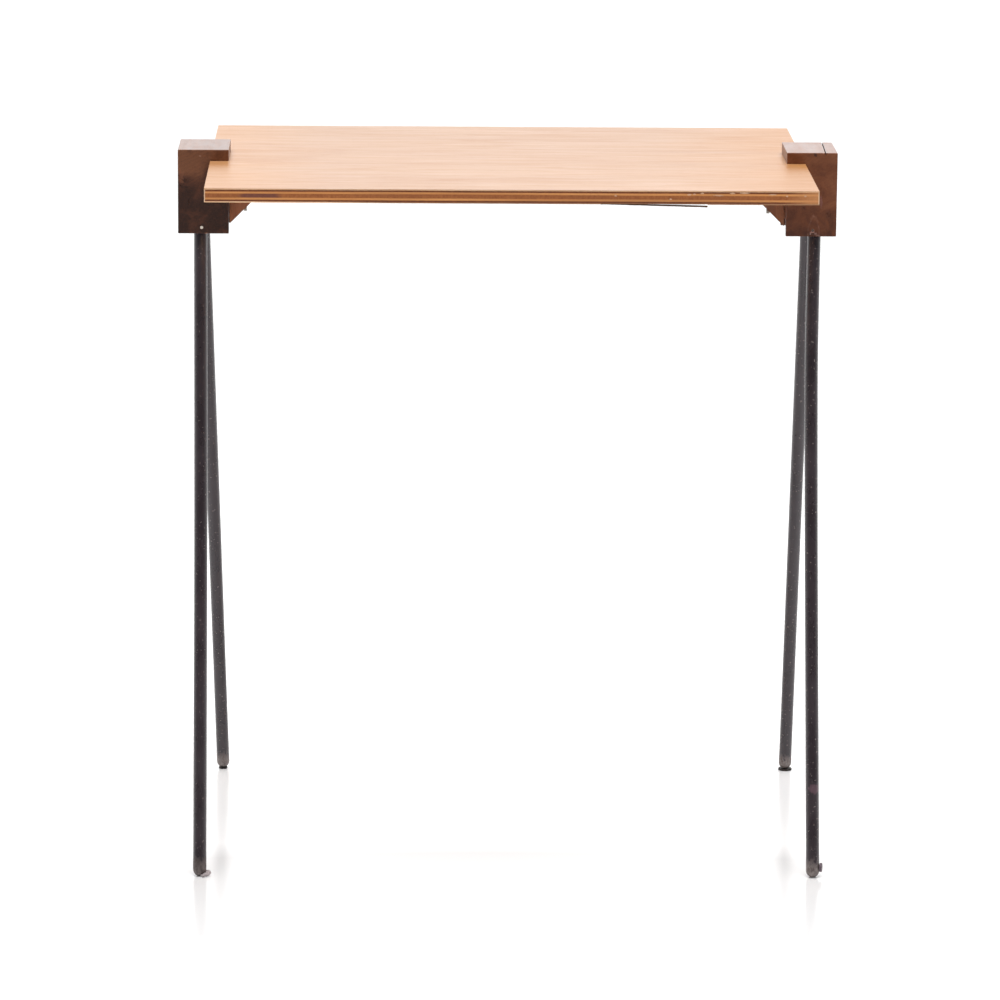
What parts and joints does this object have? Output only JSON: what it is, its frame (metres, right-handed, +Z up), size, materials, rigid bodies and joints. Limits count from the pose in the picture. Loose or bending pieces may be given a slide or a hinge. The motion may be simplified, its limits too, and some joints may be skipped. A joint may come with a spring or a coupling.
{
  "type": "folding tray table",
  "caption": "Folding tray table with a plywood top held in two slotted dark wood end blocks, on splayed black rod legs that fold inward under the top.",
  "frame": {"origin": "on the floor, below the middle of the top", "axes": "+X to the right along the table's length, +Y to the back, +Z up; the front is -Y"},
  "size_m": [0.643, 0.424, 0.685],
  "materials": {
    "face_veneer": "pale face veneer under thin clear lacquer",
    "dark_ply": "end-grain cross plies, bare",
    "light_ply": "long-grain plies, bare",
    "dark_wood": "dark brown stained hardwood, glossy lacquer",
    "gusset_wood": "brown stained wood, satin",
    "black_paint": "glossy black enamel on steel rod",
    "pin_steel": "plain steel",
    "screw_steel": "darkened steel",
    "pad_rubber": "dull dark rubber"
  },
  "bodies": {
    "table": {"top_face_veneer": "face_veneer", "upper_cross_band": "dark_ply", "upper_inner_ply": "light_ply", "core_ply": "dark_ply", "lower_inner_ply": "light_ply", "lower_cross_band": "dark_ply", "bottom_face_veneer": "face_veneer", "left_end_block": "dark_wood", "right_end_block": "dark_wood", "left_gusset": "gusset_wood", "right_gusset": "gusset_wood", "gusset_side_screws": "screw_steel", "gusset_top_screws": "screw_steel", "left_hinge_pin": "pin_steel", "right_hinge_pin": "pin_steel"},
    "left_leg_frame": {"left_hinge_sleeve": "pin_steel", "left_hinge_bushes": "pin_steel", "left_front_leg": "black_paint", "left_rear_leg": "black_paint", "left_front_foot_pad": "pad_rubber", "left_rear_foot_pad": "pad_rubber"},
    "right_leg_frame": {"right_hinge_sleeve": "pin_steel", "right_hinge_bushes": "pin_steel", "right_front_leg": "black_paint", "right_rear_leg": "black_paint", "right_front_foot_pad": "pad_rubber", "right_rear_foot_pad": "pad_rubber"}
  },
  "joints": [
    {"name": "left_leg_fold", "type": "hinge", "parent": "table", "child": "left_leg_frame", "pos_m": [-0.2985, 0, 0.6085], "axis": [0, -1, 0], "range_deg": [0, 90]},
    {"name": "right_leg_fold", "type": "hinge", "parent": "table", "child": "right_leg_frame", "pos_m": [0.2985, 0, 0.6085], "axis": [0, 1, 0], "range_deg": [0, 87]}
  ]
}
